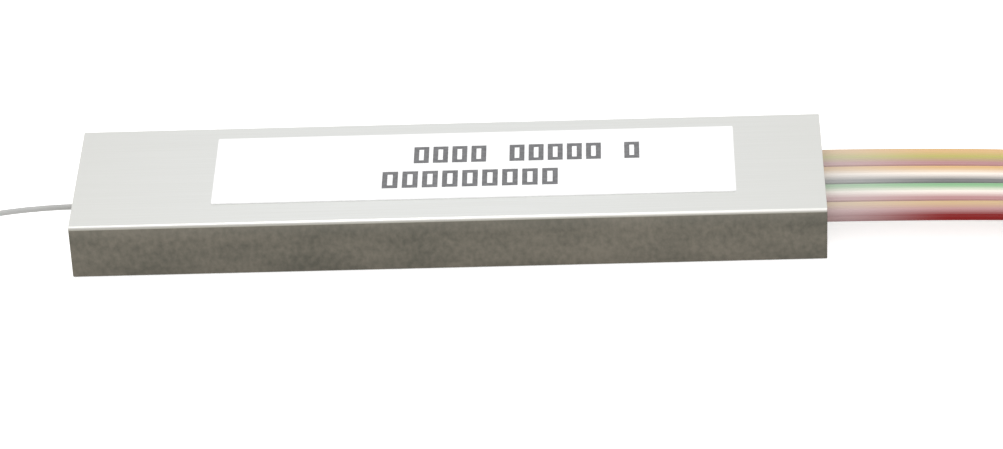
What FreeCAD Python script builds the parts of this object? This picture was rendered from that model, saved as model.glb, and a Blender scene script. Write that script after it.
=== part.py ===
import FreeCAD, Part
import math
import os

import Sketcher
from FreeCAD import Vector

# A planar 1-to-32 optical fibre splitter in a drawn metal tube. One input fibre enters the left
# end and four eight-fibre ribbons leave the right end, side by side. X runs along the tube
# towards the ribbons, Z is up, and the origin is the middle of the tube's underside. Lengths
# are in millimetres.

SIZES = (
    ("case_length", 50.0, "housing tube, end to end"),
    ("case_width", 12.0, "housing tube, side to side"),
    ("case_height", 4.0, "housing tube, underside to top"),
    ("case_wall", 0.4, "wall of the drawn tube"),
    ("case_corner", 0.25, "outer radius of the tube's long edges"),
    ("case_bend", 0.2, "inner radius of the tube's long edges"),
    ("label_length", 34.8, "adhesive label, along the tube"),
    ("label_width", 8.0, "adhesive label, across the tube"),
    ("label_thickness", 0.1, "adhesive label"),
    ("label_corner", 0.1, "corner radius of the label"),
    ("label_shift", 1.7, "the label's middle lies this far towards the ribbons"),
    ("label_back", 0.4, "and this far towards the back"),
    ("plug_length", 3.0, "end plugs, along the tube"),
    ("plug_fit", 0.05, "clearance between an end plug and the tube"),
    ("plug_lead", 0.15, "chamfer round the inner end of a plug"),
    ("seal_length", 0.8, "potting that closes each end over its plug"),
    ("cable_fit", 0.1, "clearance round a fibre or ribbon in its plug"),
    ("cushion_thickness", 0.4, "silicone under the glass parts"),
    ("cushion_margin", 0.6, "the glass overhangs its cushion by this much"),
    ("cushion_corner", 0.5, "corner radius of a cushion"),
    ("substrate_thickness", 1.2, "chip and V-groove blocks, underside to fibre axis"),
    ("lid_thickness", 1.1, "glass lids"),
    ("facet_angle", 8.0, "degrees that the polished joints lean from upright"),
    ("chip_start", -12.0, "where the chip's input facet crosses the fibre axis"),
    ("chip_length", 15.5, "chip, facet to facet along the fibre axis"),
    ("chip_width", 5.0, "chip, side to side"),
    ("chip_lid_length", 3.0, "glass lid on each end of the chip"),
    ("guide_width", 0.04, "waveguide ridge"),
    ("guide_height", 0.02, "waveguide ridge"),
    ("guide_lead", 1.2, "straight guide before the first split and after the last"),
    ("split_levels", 5, "each level doubles the outputs"),
    ("array_width", 5.3, "V-groove blocks and their lids"),
    ("input_hold", 3.2, "length of the input fibre's V-groove"),
    ("output_hold", 4.0, "length of the output V-grooves"),
    ("ledge_length", 1.8, "step at the back of a V-groove block for the coated fibre"),
    ("joint_gap", 0.05, "cured glue between chip and array"),
    ("glue_film", 0.05, "glue under a coated fibre on its ledge"),
    ("bead_length", 1.6, "strain-relief bead on each ledge"),
    ("bead_cover", 0.6, "bead above the coated fibre"),
    ("bead_margin", 0.2, "the block is wider than its bead by this much on each side"),
    ("bead_round", 0.25, "corner radius of a bead"),
    ("glass_diameter", 0.125, "stripped fibre"),
    ("groove_pitch", 0.127, "spacing of the outputs"),
    ("groove_land", 0.02, "flat left between two grooves"),
    ("groove_angle", 60.0, "degrees between the two walls of a groove"),
    ("fibre_diameter", 0.4, "jacketed input fibre"),
    ("ribbon_count", 4, "output ribbons"),
    ("ribbon_width", 2.1, "eight-fibre ribbon"),
    ("ribbon_thickness", 0.3, "eight-fibre ribbon"),
    ("ribbon_gap", 0.07, "air between two ribbons that lie side by side"),
    ("stack_gap", 0.1, "glue between two ribbons that lie one on the other"),
    ("ribbon_start", 0.3, "from the array's lid to the end of the ribbon's coating"),
    ("fibre_coil_radius", 12.0, "coil of the input fibre, outside"),
    ("fibre_coil_section", 1.7, "coil of the input fibre, bundle of turns"),
    ("fibre_coil_along", -45.5, "middle of the input fibre's coil"),
    ("fibre_coil_back", 8.6, "middle of the input fibre's coil"),
    ("ribbon_coil_radius", 16.6, "coil of the ribbons, outside"),
    ("ribbon_coil_depth", 8.2, "coil of the ribbons, outer turn to inner turn"),
    ("ribbon_coil_height", 4.3, "coil of the ribbons, two ribbons on edge"),
    ("ribbon_coil_along", 60.0, "middle of the ribbons' coil"),
    ("ribbon_coil_back", 12.0, "middle of the ribbons' coil"),
    ("tie_thickness", 0.12, "band round a coil"),
    ("fibre_tie_width", 2.0, "band round the input fibre's coil"),
    ("ribbon_tie_width", 3.0, "band round the ribbons' coil"),
)

SEAT = "(Sizes.case_wall + Sizes.cushion_thickness)"
CORE = f"({SEAT} + Sizes.substrate_thickness)"
MID_HEIGHT = "(Sizes.case_height / 2)"
CASE_END = "(Sizes.case_length / 2)"
BORE_WIDTH = "(Sizes.case_width - 2 * Sizes.case_wall)"
BORE_HEIGHT = "(Sizes.case_height - 2 * Sizes.case_wall)"
CHIP_END = "(Sizes.chip_start + Sizes.chip_length)"
GUIDE_TOP = f"({CORE} + Sizes.guide_height / 2)"
GUIDE_FLOOR = f"({CORE} - Sizes.guide_height / 2)"
INPUT_FACET = "(Sizes.chip_start - Sizes.joint_gap)"
OUTPUT_FACET = f"({CHIP_END} + Sizes.joint_gap)"
INPUT_STEP = f"({INPUT_FACET} - Sizes.input_hold)"
OUTPUT_STEP = f"({OUTPUT_FACET} + Sizes.output_hold)"
FIBRE_TOP = f"({CORE} + Sizes.glass_diameter / 2)"
RIBBON_PITCH = "(Sizes.ribbon_width + Sizes.ribbon_gap)"
RIBBON_SPAN = f"({RIBBON_PITCH} * Sizes.ribbon_count - Sizes.ribbon_gap)"
STACK_SPAN = "(2 * Sizes.ribbon_width + Sizes.ribbon_gap)"
INPUT_LEDGE = f"({CORE} - Sizes.fibre_diameter / 2 - Sizes.glue_film)"
STACK_HEIGHT = "(2 * Sizes.ribbon_thickness + Sizes.stack_gap)"
OUTPUT_LEDGE = f"({CORE} - {STACK_HEIGHT} / 2 - Sizes.glue_film)"

# Routes of the free ends, chosen by hand. The input fibre's points are (x, y, z), and it leaves
# its plug at FIBRE_EXIT_Y. The ribbons leave the array as two stacks of two. The outer two
# spread aside first, then all four come level, pass the slot and follow one list of stations:
# (x, y of the bundle's middle, spacing of the ribbons, z, twist in degrees), where a twist of 0
# lays a ribbon flat and 90 stands it on edge.
FIBRE_EXIT_Y = -0.35
FIBRE_BEND_POINTS = (
    (-18.0, 0.0, 2.0),
    (-21.9, FIBRE_EXIT_Y, 2.0),
    (-27.9, FIBRE_EXIT_Y, 2.0),
    (-33.6, -0.95, 1.5),
    (-39.2, -2.2, 0.95),
    (-44.6, -3.15, 0.85),
)
OUTER_RIBBON_SPREAD = (11.2, 15.8)
INNER_RIBBON_SPREAD = (16.2,)
RIBBON_LEVEL = 20.4
RIBBON_EXIT = 28.9
RIBBON_BEND_STATIONS = (
    (38.2, -0.45, 2.17, 2.1, 0.0),
    (43.6, -1.0, 2.0, 1.9, 36.0),
    (48.6, -2.5, 0.85, 1.55, 68.0),
    (53.8, -4.1, 0.36, 1.25, 90.0),
    (59.2, -3.95, 0.33, 1.2, 90.0),
)
ARC_SHARE = 0.45
STEP_ANGLE = math.radians(12.0)
TIP_SIDES = 8
VOLUME_MATCH = 0.01

doc = FreeCAD.newDocument("plc_fibre_splitter")
sheet = doc.addObject("Spreadsheet::Sheet", "Sizes")
nodes = []


def fill_sheet():
    """Put every driving dimension in the sheet, with its alias and its meaning."""
    for row, (alias, number, meaning) in enumerate(SIZES, start=1):
        sheet.set(f"A{row}", alias)
        sheet.set(f"B{row}", str(number))
        sheet.set(f"C{row}", meaning)
        sheet.setAlias(f"B{row}", alias)
    doc.recompute()


def value(expression):
    """Number that an expression of the sheet's aliases gives."""
    return float(sheet.evalExpression(expression))


def size(alias):
    """Number in the sheet's cell of that alias."""
    return float(sheet.get(alias))


def leaning(along, height, lean):
    """Expression for where a polished facet lies at a height, when it crosses the axis at along."""
    return f"({along} + ({lean}) * ({height} - {CORE}) * tan(Sizes.facet_angle * 1 deg))"


# Bodies, sketches and features


def new_body(name):
    """An empty body that becomes the node of that name."""
    body = doc.addObject("PartDesign::Body", name)
    body.Label = name
    nodes.append(body)
    return body


def origin_feature(body, role):
    """A plane or axis of the body's own origin."""
    return next(item for item in body.Origin.OriginFeatures if item.Role == role)


def new_sketch(body, plane, name, across="0", up="0", out="0"):
    """A sketch on one of the body's origin planes, shifted by three expressions."""
    sketch = body.newObject("Sketcher::SketchObject", name)
    sketch.AttachmentSupport = [(origin_feature(body, plane), "")]
    sketch.MapMode = "FlatFace"
    for axis, shift in (("x", across), ("y", up), ("z", out)):
        sketch.setExpression(f"AttachmentOffset.Base.{axis}", shift)
    return sketch


def dimension(sketch, kind, *where, length):
    """One driving dimension of a sketch, bound to an expression."""
    index = sketch.addConstraint(Sketcher.Constraint(kind, *where, value(length)))
    sketch.setExpression(f"Constraints[{index}]", length)


def draw_rounded_rectangle(sketch, width, height, corner):
    """A rectangle with four equal round corners, centred on the sketch's origin."""
    half_width, half_height, radius = value(width) / 2, value(height) / 2, value(corner)
    inner_x, inner_y = half_width - radius, half_height - radius
    sides = (
        (Vector(-inner_x, -half_height), Vector(inner_x, -half_height)),
        (Vector(half_width, -inner_y), Vector(half_width, inner_y)),
        (Vector(inner_x, half_height), Vector(-inner_x, half_height)),
        (Vector(-half_width, inner_y), Vector(-half_width, -inner_y)),
    )
    centres = (
        Vector(inner_x, -inner_y),
        Vector(inner_x, inner_y),
        Vector(-inner_x, inner_y),
        Vector(-inner_x, -inner_y),
    )
    lines, arcs = [], []
    for turn, (side, centre) in enumerate(zip(sides, centres)):
        lines.append(sketch.addGeometry(Part.LineSegment(*side)))
        start = (turn - 1) * math.pi / 2
        circle = Part.Circle(centre, Vector(0, 0, 1), radius)
        arcs.append(sketch.addGeometry(Part.ArcOfCircle(circle, start, start + math.pi / 2)))
    for turn in range(4):
        following = lines[(turn + 1) % 4]
        sketch.addConstraint(Sketcher.Constraint("Tangent", lines[turn], 2, arcs[turn], 1))
        sketch.addConstraint(Sketcher.Constraint("Tangent", arcs[turn], 2, following, 1))
        level = "Horizontal" if turn % 2 == 0 else "Vertical"
        sketch.addConstraint(Sketcher.Constraint(level, lines[turn]))
    for arc in arcs[1:]:
        sketch.addConstraint(Sketcher.Constraint("Equal", arcs[0], arc))
    sketch.addConstraint(Sketcher.Constraint("Symmetric", arcs[0], 3, arcs[2], 3, -1, 1))
    dimension(sketch, "DistanceX", lines[3], 1, lines[1], 1, length=width)
    dimension(sketch, "DistanceY", lines[0], 1, lines[2], 1, length=height)
    dimension(sketch, "Radius", arcs[0], length=corner)


def draw_rectangle(sketch, width, height):
    """A sharp-cornered rectangle, centred on the sketch's origin."""
    right, top = f"({width}) / 2", f"({height}) / 2"
    left, bottom = f"-{right}", f"-{top}"
    draw_polygon(sketch, ((left, bottom), (right, bottom), (right, top), (left, top)))


def draw_circle(sketch, diameter):
    """A circle about the sketch's origin."""
    circle = Part.Circle(Vector(), Vector(0, 0, 1), value(diameter) / 2)
    index = sketch.addGeometry(circle)
    sketch.addConstraint(Sketcher.Constraint("Coincident", index, 3, -1, 1))
    dimension(sketch, "Diameter", index, length=diameter)


def draw_polygon(sketch, corners):
    """A closed outline whose corners are pairs of expressions, measured from the origin."""
    points = [Vector(value(across), value(up)) for across, up in corners]
    lines = []
    for start, end in zip(points, points[1:] + points[:1]):
        lines.append(sketch.addGeometry(Part.LineSegment(start, end)))
    for line, following, (across, up) in zip(lines, lines[1:] + lines[:1], corners):
        sketch.addConstraint(Sketcher.Constraint("Coincident", line, 2, following, 1))
        dimension(sketch, "DistanceX", -1, 1, line, 1, length=across)
        dimension(sketch, "DistanceY", -1, 1, line, 1, length=up)


def add_pad(body, sketch, length, name="Pad"):
    """Raise a sketch along its own normal."""
    pad = body.newObject("PartDesign::Pad", name)
    pad.Profile = sketch
    pad.setExpression("Length", length)
    sketch.Visibility = False
    doc.recompute()
    return pad


def add_cut(body, sketch, name):
    """Cut a sketch right through the body, along the sketch's normal, and test that it cut."""
    before = body.Shape.Volume
    cut = body.newObject("PartDesign::Pocket", name)
    cut.Profile = sketch
    cut.Type = "ThroughAll"
    cut.Reversed = True
    doc.recompute()
    if body.Shape.Volume >= before:
        raise RuntimeError(f"{body.Label}: {name} cuts nothing")
    return cut


def add_turn(body, sketch, angle):
    """Turn a sketch about the body's own Z axis."""
    turned = body.newObject("PartDesign::Revolution", "Revolution")
    turned.Profile = sketch
    turned.ReferenceAxis = (origin_feature(body, "Z_Axis"), [""])
    turned.setExpression("Angle", angle)
    doc.recompute()
    return turned


def end_face(feature, direction):
    """Name of the planar face that lies furthest along a direction."""
    faces = enumerate(feature.Shape.Faces, start=1)
    number, _ = max(faces, key=lambda item: item[1].CenterOfMass.dot(direction))
    return f"Face{number}"


def new_feature(name, shape):
    """A node whose shape is made with Part's own functions."""
    feature = doc.addObject("Part::Feature", name)
    feature.Label = name
    feature.Shape = shape
    nodes.append(feature)
    return feature


# Housing, label and the closed ends


def make_housing():
    """Drawn rectangular tube with round long edges."""
    body = new_body("housing_tube")
    sketch = new_sketch(body, "YZ_Plane", "TubeSection", up=MID_HEIGHT, out=f"-{CASE_END}")
    draw_rounded_rectangle(sketch, "Sizes.case_width", "Sizes.case_height", "Sizes.case_corner")
    draw_rounded_rectangle(sketch, BORE_WIDTH, BORE_HEIGHT, "Sizes.case_bend")
    add_pad(body, sketch, "Sizes.case_length")


def make_label():
    """Adhesive label on the tube's top face."""
    body = new_body("top_label")
    sketch = new_sketch(
        body,
        "XY_Plane",
        "LabelOutline",
        across="Sizes.label_shift",
        up="Sizes.label_back",
        out="Sizes.case_height",
    )
    draw_rounded_rectangle(sketch, "Sizes.label_length", "Sizes.label_width", "Sizes.label_corner")
    add_pad(body, sketch, "Sizes.label_thickness")


def draw_tube_filling(body, name, out, fit):
    """Sketch of the tube's bore, smaller by a clearance all round."""
    sketch = new_sketch(body, "YZ_Plane", name, up=MID_HEIGHT, out=out)
    width, height = f"{BORE_WIDTH} - 2 * {fit}", f"{BORE_HEIGHT} - 2 * {fit}"
    draw_rounded_rectangle(sketch, width, height, "Sizes.case_bend")
    return sketch


def draw_passage(body, name, side, out, fit):
    """Sketch of the hole for the input fibre, or of the slot for the ribbons."""
    if side == "input":
        back = str(FIBRE_EXIT_Y)
        sketch = new_sketch(body, "YZ_Plane", name, across=back, up=CORE, out=out)
        draw_circle(sketch, f"Sizes.fibre_diameter + 2 * {fit}")
        return sketch
    sketch = new_sketch(body, "YZ_Plane", name, up=CORE, out=out)
    width = f"{RIBBON_SPAN} + 2 * {fit}"
    draw_rectangle(sketch, width, f"Sizes.ribbon_thickness + 2 * {fit}")
    return sketch


def make_end_plug(side, direction):
    """Rubber plug inside one end, with a chamfered inner end and a hole for what passes it."""
    body = new_body(f"{side}_end_plug")
    outer = f"({CASE_END} - Sizes.seal_length)"
    start = f"-{outer}" if direction < 0 else f"{outer} - Sizes.plug_length"
    pad = add_pad(body, draw_tube_filling(body, "PlugSection", start, "Sizes.plug_fit"),
                  "Sizes.plug_length")
    chamfer = body.newObject("PartDesign::Chamfer", "LeadIn")
    chamfer.Base = (pad, [end_face(pad, Vector(-direction, 0, 0))])
    chamfer.setExpression("Size", "Sizes.plug_lead")
    doc.recompute()
    add_cut(body, draw_passage(body, "Passage", side, start, "Sizes.cable_fit"), "PassageCut")


def make_end_seal(side, direction):
    """Potting that fills the tube outside the plug and grips the fibre or the ribbons."""
    body = new_body(f"{side}_seal")
    start = f"-{CASE_END}" if direction < 0 else f"{CASE_END} - Sizes.seal_length"
    add_pad(body, draw_tube_filling(body, "SealSection", start, "0"), "Sizes.seal_length")
    add_cut(body, draw_passage(body, "Passage", side, start, "0"), "PassageCut")


# Chip and fibre arrays


def make_block(name, corners, width):
    """A glass piece with an outline in the XZ plane, equally wide on both sides of it."""
    body = new_body(name)
    sketch = new_sketch(body, "XZ_Plane", "Outline", out=f"-{width} / 2")
    draw_polygon(sketch, corners)
    add_pad(body, sketch, width)
    return body


def facet_corners(along, lean, low, high):
    """The two ends of a polished facet, lower end first."""
    return (leaning(along, low, lean), low), (leaning(along, high, lean), high)


def outline(facet, far_end, low, high, facet_first):
    """Corners of a block with one leaning end and one upright end."""
    low_corner, high_corner = facet
    if facet_first:
        return low_corner, (far_end, low), (far_end, high), high_corner
    return (far_end, low), low_corner, high_corner, (far_end, high)


def branch(start, end, width):
    """Outline of one guide: straight, or bent aside by two equal arcs where it shifts far."""
    half = Vector(0, width / 2, 0)
    shift = end.y - start.y
    if abs(shift) < 2 * width:
        corners = (start - half, end - half, end + half, start + half, start - half)
        return Part.Face(Part.makePolygon(corners))
    length = end.x - start.x
    radius = (length**2 + shift**2) / (4 * abs(shift))
    side = math.copysign(1.0, shift)
    half_turn = math.asin(length / (2 * radius)) / 2
    middle = (start + end) / 2

    def edges(offset):
        """The two arcs of one edge of the guide, from start to end."""
        first_radius, second_radius = radius - side * offset, radius + side * offset
        first_centre = start + Vector(0, side * radius, 0)
        second_centre = end - Vector(0, side * radius, 0)
        sine, cosine = math.sin(half_turn), math.cos(half_turn)
        first_middle = first_centre + Vector(sine, -side * cosine, 0) * first_radius
        second_middle = second_centre + Vector(-sine, side * cosine, 0) * second_radius
        turn = Vector(math.sin(2 * half_turn), -side * math.cos(2 * half_turn), 0)
        join = first_centre + turn * first_radius
        ends = start + Vector(0, offset, 0), end + Vector(0, offset, 0)
        return (
            Part.Arc(ends[0], first_middle, join).toShape(),
            Part.Arc(join, second_middle, ends[1]).toShape(),
        )

    lower, upper = edges(-half.y), edges(half.y)
    caps = (
        Part.LineSegment(start - half, start + half).toShape(),
        Part.LineSegment(end - half, end + half).toShape(),
    )
    face = Part.Face(Part.Wire(Part.__sortEdges__([*lower, *upper, *caps])))
    if not face.isInside(middle, width / 4, True):
        raise RuntimeError("a guide's outline misses its own middle")
    return face


def guide_tree():
    """Ridges that split one guide in two at every level, until there are as many as outputs."""
    width, pitch = size("guide_width"), size("groove_pitch")
    levels = round(size("split_levels"))
    overrun = 2 * width
    first_x, last_x = value("Sizes.chip_start"), value(CHIP_END)
    split_x, merge_x = first_x + size("guide_lead"), last_x - size("guide_lead")
    shares = [2 ** (levels - level) for level in range(levels)]
    faces = [branch(Vector(first_x - overrun, 0, 0), Vector(split_x, 0, 0), width)]
    tips = [Vector(split_x, 0, 0)]
    for share in shares:
        reach = tips[0].x + (merge_x - split_x) * share / sum(shares)
        following = []
        for tip in tips:
            for side in (-1, 1):
                end = Vector(reach, tip.y + side * pitch * share / 4, 0)
                faces.append(branch(tip, end, width))
                following.append(end)
        tips = following
    for tip in tips:
        faces.append(branch(tip, Vector(last_x + overrun, tip.y, 0), width))
    lift = Vector(0, 0, value(GUIDE_FLOOR) - size("guide_height"))
    ridges = [face.translated(lift).extrude(Vector(0, 0, 2 * size("guide_height"))) for face in faces]
    tree = ridges[0].multiFuse(ridges[1:])
    low, high = facet_corners("Sizes.chip_start", 1, GUIDE_FLOOR, GUIDE_TOP)
    far_low, far_high = facet_corners(CHIP_END, -1, GUIDE_FLOOR, GUIDE_TOP)
    corners = [Vector(value(x), 0, value(z)) for x, z in (low, far_low, far_high, high, low)]
    section = Part.Face(Part.makePolygon(corners))
    breadth = Vector(0, size("chip_width") / 2, 0)
    envelope = section.translated(-breadth).extrude(2 * breadth)
    return tree.common(envelope).removeSplitter()


def make_chip():
    """Chip whose waveguides stand on its top face as a branching tree of low ridges."""
    plate = make_block(
        "chip_plate",
        (
            (leaning("Sizes.chip_start", SEAT, 1), SEAT),
            (leaning(CHIP_END, SEAT, -1), SEAT),
            (leaning(CHIP_END, GUIDE_FLOOR, -1), GUIDE_FLOOR),
            (leaning("Sizes.chip_start", GUIDE_FLOOR, 1), GUIDE_FLOOR),
        ),
        "Sizes.chip_width",
    )
    tree = new_feature("chip_guides", guide_tree())
    chip = doc.addObject("Part::Fuse", "plc_chip")
    chip.Base, chip.Tool = plate, tree
    chip.Label = "plc_chip"
    for part in (plate, tree):
        nodes.remove(part)
    nodes.append(chip)
    doc.recompute()


def make_chip_lid(side, lean, along):
    """Glass lid that backs one facet of the chip."""
    low, high = GUIDE_TOP, f"({GUIDE_TOP} + Sizes.lid_thickness)"
    far_end = f"({along} + ({lean}) * Sizes.chip_lid_length)"
    facet = facet_corners(along, lean, low, high)
    corners = outline(facet, far_end, low, high, facet_first=lean > 0)
    make_block(f"chip_{side}_lid", corners, "Sizes.chip_width")


def make_joint(side, lean, along):
    """Cured glue between the chip's facet and the array's."""
    top = f"({GUIDE_TOP} + Sizes.lid_thickness)"
    near = facet_corners(along, lean, SEAT, top)
    far = facet_corners(f"({along} - ({lean}) * Sizes.joint_gap)", lean, SEAT, top)
    corners = (near[0], near[1], far[1], far[0])
    make_block(f"{side}_joint_glue", corners, "Sizes.chip_width")


def groove_corners(top, width, drop):
    """A V whose walls meet a drop below the sketch's origin and open at the block's top."""
    return (("0", f"-{drop}"), (f"{width} / 2", top), (f"-{width} / 2", top))


def make_array_block(side, lean, facet_x, step_x, top, ledge):
    """V-groove block: a leaning polished facet, grooves for the glass and a step for the coating."""
    back = f"({step_x} - ({lean}) * Sizes.ledge_length)"
    low_corner, high_corner = facet_corners(facet_x, lean, SEAT, top)
    corners = (low_corner, high_corner, (step_x, top), (step_x, ledge), (back, ledge), (back, SEAT))
    body = make_block(f"{side}_array_block", corners, "Sizes.array_width")
    drop = "(Sizes.glass_diameter / 2 / sin(Sizes.groove_angle / 2 * 1 deg))"
    depth = f"({drop} + {top} - {CORE})"
    opening = f"(2 * {depth} * tan(Sizes.groove_angle / 2 * 1 deg))"
    left_end = back if lean > 0 else facet_x
    start = f"({left_end} - Sizes.ledge_length)"
    across = "0" if side == "input" else "-(2 ^ Sizes.split_levels - 1) / 2 * Sizes.groove_pitch"
    sketch = new_sketch(body, "YZ_Plane", "Groove", across=across, up=CORE, out=start)
    draw_polygon(sketch, groove_corners(f"({top} - {CORE})", opening, drop))
    cut = add_cut(body, sketch, "GrooveCut")
    if side == "output":
        pattern = body.newObject("PartDesign::LinearPattern", "Grooves")
        pattern.Originals = [cut]
        pattern.Direction = (sketch, ["H_Axis"])
        pattern.Mode = "Spacing"
        pattern.setExpression("Offset", "Sizes.groove_pitch")
        pattern.setExpression("Occurrences", "2 ^ Sizes.split_levels")
        body.Tip = pattern
        doc.recompute()


def make_array_lid(side, lean, facet_x, step_x, low):
    """Glass lid that presses the stripped fibres into their grooves."""
    high = f"({low} + Sizes.lid_thickness)"
    facet = facet_corners(facet_x, lean, low, high)
    corners = outline(facet, step_x, low, high, facet_first=lean < 0)
    make_block(f"{side}_array_lid", corners, "Sizes.array_width")


def make_bead(side, lean, step_x):
    """Rounded bead of glue that holds the coated fibre or the ribbons on the ledge."""
    body = new_body(f"{side}_strain_bead")
    ledge = INPUT_LEDGE if side == "input" else OUTPUT_LEDGE
    half_coat = "Sizes.fibre_diameter / 2" if side == "input" else f"{STACK_HEIGHT} / 2"
    top = f"({CORE} + {half_coat} + Sizes.bead_cover)"
    start = f"({step_x} - Sizes.bead_length)" if lean > 0 else step_x
    sketch = new_sketch(body, "YZ_Plane", "BeadSection", up=f"({ledge} + {top}) / 2", out=start)
    width = "Sizes.array_width - 2 * Sizes.bead_margin"
    draw_rounded_rectangle(sketch, width, f"{top} - {ledge}", "Sizes.bead_round")
    add_pad(body, sketch, "Sizes.bead_length")
    passage = new_sketch(body, "YZ_Plane", "Passage", up=CORE, out=start)
    if side == "input":
        draw_circle(passage, "Sizes.fibre_diameter")
    else:
        draw_rectangle(passage, STACK_SPAN, STACK_HEIGHT)
    add_cut(body, passage, "PassageCut")


def make_cushion(name, start, end, width):
    """Soft silicone pad between the tube's floor and a glass part."""
    body = new_body(name)
    sketch = new_sketch(
        body, "XY_Plane", "CushionOutline", across=f"({start} + {end}) / 2", out="Sizes.case_wall"
    )
    length = f"{end} - {start} - 2 * Sizes.cushion_margin"
    breadth = f"{width} - 2 * Sizes.cushion_margin"
    draw_rounded_rectangle(sketch, length, breadth, "Sizes.cushion_corner")
    add_pad(body, sketch, "Sizes.cushion_thickness")


def fibre_tips(facet_x, lean, end_x, offsets):
    """Stripped glass fibres that start at a leaning facet and end under the coating."""
    radius, core = size("glass_diameter") / 2, value(CORE)
    facet, end, lean_slope = value(facet_x), value(end_x), math.tan(math.radians(size("facet_angle")))
    reach = lean * 2 * radius * lean_slope
    low, high = core - 2 * radius, core + 2 * radius
    breadth = Vector(0, max(offsets) - min(offsets) + 4 * radius, 0)
    corners = [
        Vector(facet - reach, min(offsets) - 2 * radius, low),
        Vector(end, min(offsets) - 2 * radius, low),
        Vector(end, min(offsets) - 2 * radius, high),
        Vector(facet + reach, min(offsets) - 2 * radius, high),
    ]
    envelope = Part.Face(Part.makePolygon([*corners, corners[0]])).extrude(breadth)
    run_start, run_end = sorted((facet + math.copysign(4 * radius, facet - end), end))
    tips = []
    for offset in offsets:
        foot = Vector(run_start, offset, core)
        spokes = [2 * math.pi * corner / TIP_SIDES for corner in range(TIP_SIDES + 1)]
        rim = [foot + Vector(0, math.cos(spoke), math.sin(spoke)) * radius for spoke in spokes]
        rod = Part.Face(Part.makePolygon(rim)).extrude(Vector(run_end - run_start, 0, 0))
        tips.extend(rod.common(envelope).Solids)
    return Part.makeCompound(tips)


def make_optics():
    """Everything on the silicone: input array, chip and output array, joined end to end."""
    input_end = f"({INPUT_STEP} - Sizes.ledge_length)"
    output_end = f"({OUTPUT_STEP} + Sizes.ledge_length)"
    make_chip()
    make_chip_lid("input", 1, "Sizes.chip_start")
    make_chip_lid("output", -1, CHIP_END)
    make_joint("input", 1, "Sizes.chip_start")
    make_joint("output", -1, CHIP_END)
    make_array_block("input", 1, INPUT_FACET, INPUT_STEP, FIBRE_TOP, INPUT_LEDGE)
    drop = "Sizes.glass_diameter / 2 / sin(Sizes.groove_angle / 2 * 1 deg)"
    opening = "(Sizes.groove_pitch - Sizes.groove_land)"
    output_top = f"({CORE} - {drop} + {opening} / 2 / tan(Sizes.groove_angle / 2 * 1 deg))"
    make_array_block("output", -1, OUTPUT_FACET, OUTPUT_STEP, output_top, OUTPUT_LEDGE)
    make_array_lid("input", 1, INPUT_FACET, INPUT_STEP, FIBRE_TOP)
    make_array_lid("output", -1, OUTPUT_FACET, OUTPUT_STEP, FIBRE_TOP)
    make_bead("input", 1, INPUT_STEP)
    make_bead("output", -1, OUTPUT_STEP)
    make_cushion("input_cushion", input_end, INPUT_FACET, "Sizes.array_width")
    make_cushion("chip_cushion", "Sizes.chip_start", CHIP_END, "Sizes.chip_width")
    make_cushion("output_cushion", OUTPUT_FACET, output_end, "Sizes.array_width")
    count, pitch = 2 ** round(size("split_levels")), size("groove_pitch")
    coating_end = f"({INPUT_STEP} - Sizes.ribbon_start)"
    new_feature("input_fibre_tip", fibre_tips(INPUT_FACET, 1, coating_end, [0.0]))
    offsets = [(number - (count - 1) / 2) * pitch for number in range(count)]
    ribbon_end = f"({OUTPUT_STEP} + Sizes.ribbon_start)"
    new_feature("output_fibre_tips", fibre_tips(OUTPUT_FACET, -1, ribbon_end, offsets))


# Free fibre and ribbons


def rounded_route(points, name):
    """Straight runs joined by tangent arcs, each arc as large as its two runs allow."""
    edges, start = [], points[0]
    for before, corner, after in zip(points, points[1:], points[2:]):
        incoming, outgoing = (corner - before), (after - corner)
        reach = ARC_SHARE * min(incoming.Length, outgoing.Length)
        turn = incoming.getAngle(outgoing)
        print(f"{name}: turn {math.degrees(turn):.1f} degrees, radius {reach / math.tan(turn / 2):.1f}")
        first = corner - incoming.normalize() * reach
        last = corner + outgoing.normalize() * reach
        inward = (first + last) / 2 - corner
        sagitta = reach * math.cos(turn / 2) * math.tan(turn / 4)
        middle = (first + last) / 2 - inward.normalize() * sagitta
        edges.append(Part.LineSegment(start, first).toShape())
        edges.append(Part.Arc(first, middle, last).toShape())
        start = last
    edges.append(Part.LineSegment(start, points[-1]).toShape())
    return Part.Wire(edges)


def checked_volume(shape, section, length, name):
    """Stop if a swept piece isn't about as large as its section times its length."""
    expected = section * length
    print(f"{name}: {length:.1f} long, volume {shape.Volume:.3f}, section x length {expected:.3f}")
    if not shape.isValid() or abs(shape.Volume - expected) > VOLUME_MATCH * expected:
        raise RuntimeError(f"{name}: the sweep's volume is wrong")


def make_fibre_lead(coil):
    """The input fibre from its bead, out through the plug and down to its coil."""
    core = value(CORE)
    start_x = value(f"{INPUT_STEP} - Sizes.ribbon_start")
    points = [Vector(start_x, 0, core), *(Vector(*point) for point in FIBRE_BEND_POINTS)]
    path = rounded_route(points, "input_fibre_lead")
    radius = size("fibre_diameter") / 2
    ring = Part.Wire(Part.makeCircle(radius, points[0], Vector(-1, 0, 0)))
    tube = path.makePipeShell([ring], True, True)
    checked_volume(tube, math.pi * radius**2, path.Length, "input_fibre_lead")
    new_feature("input_fibre_lead", tube.cut(coil.Shape))


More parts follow.
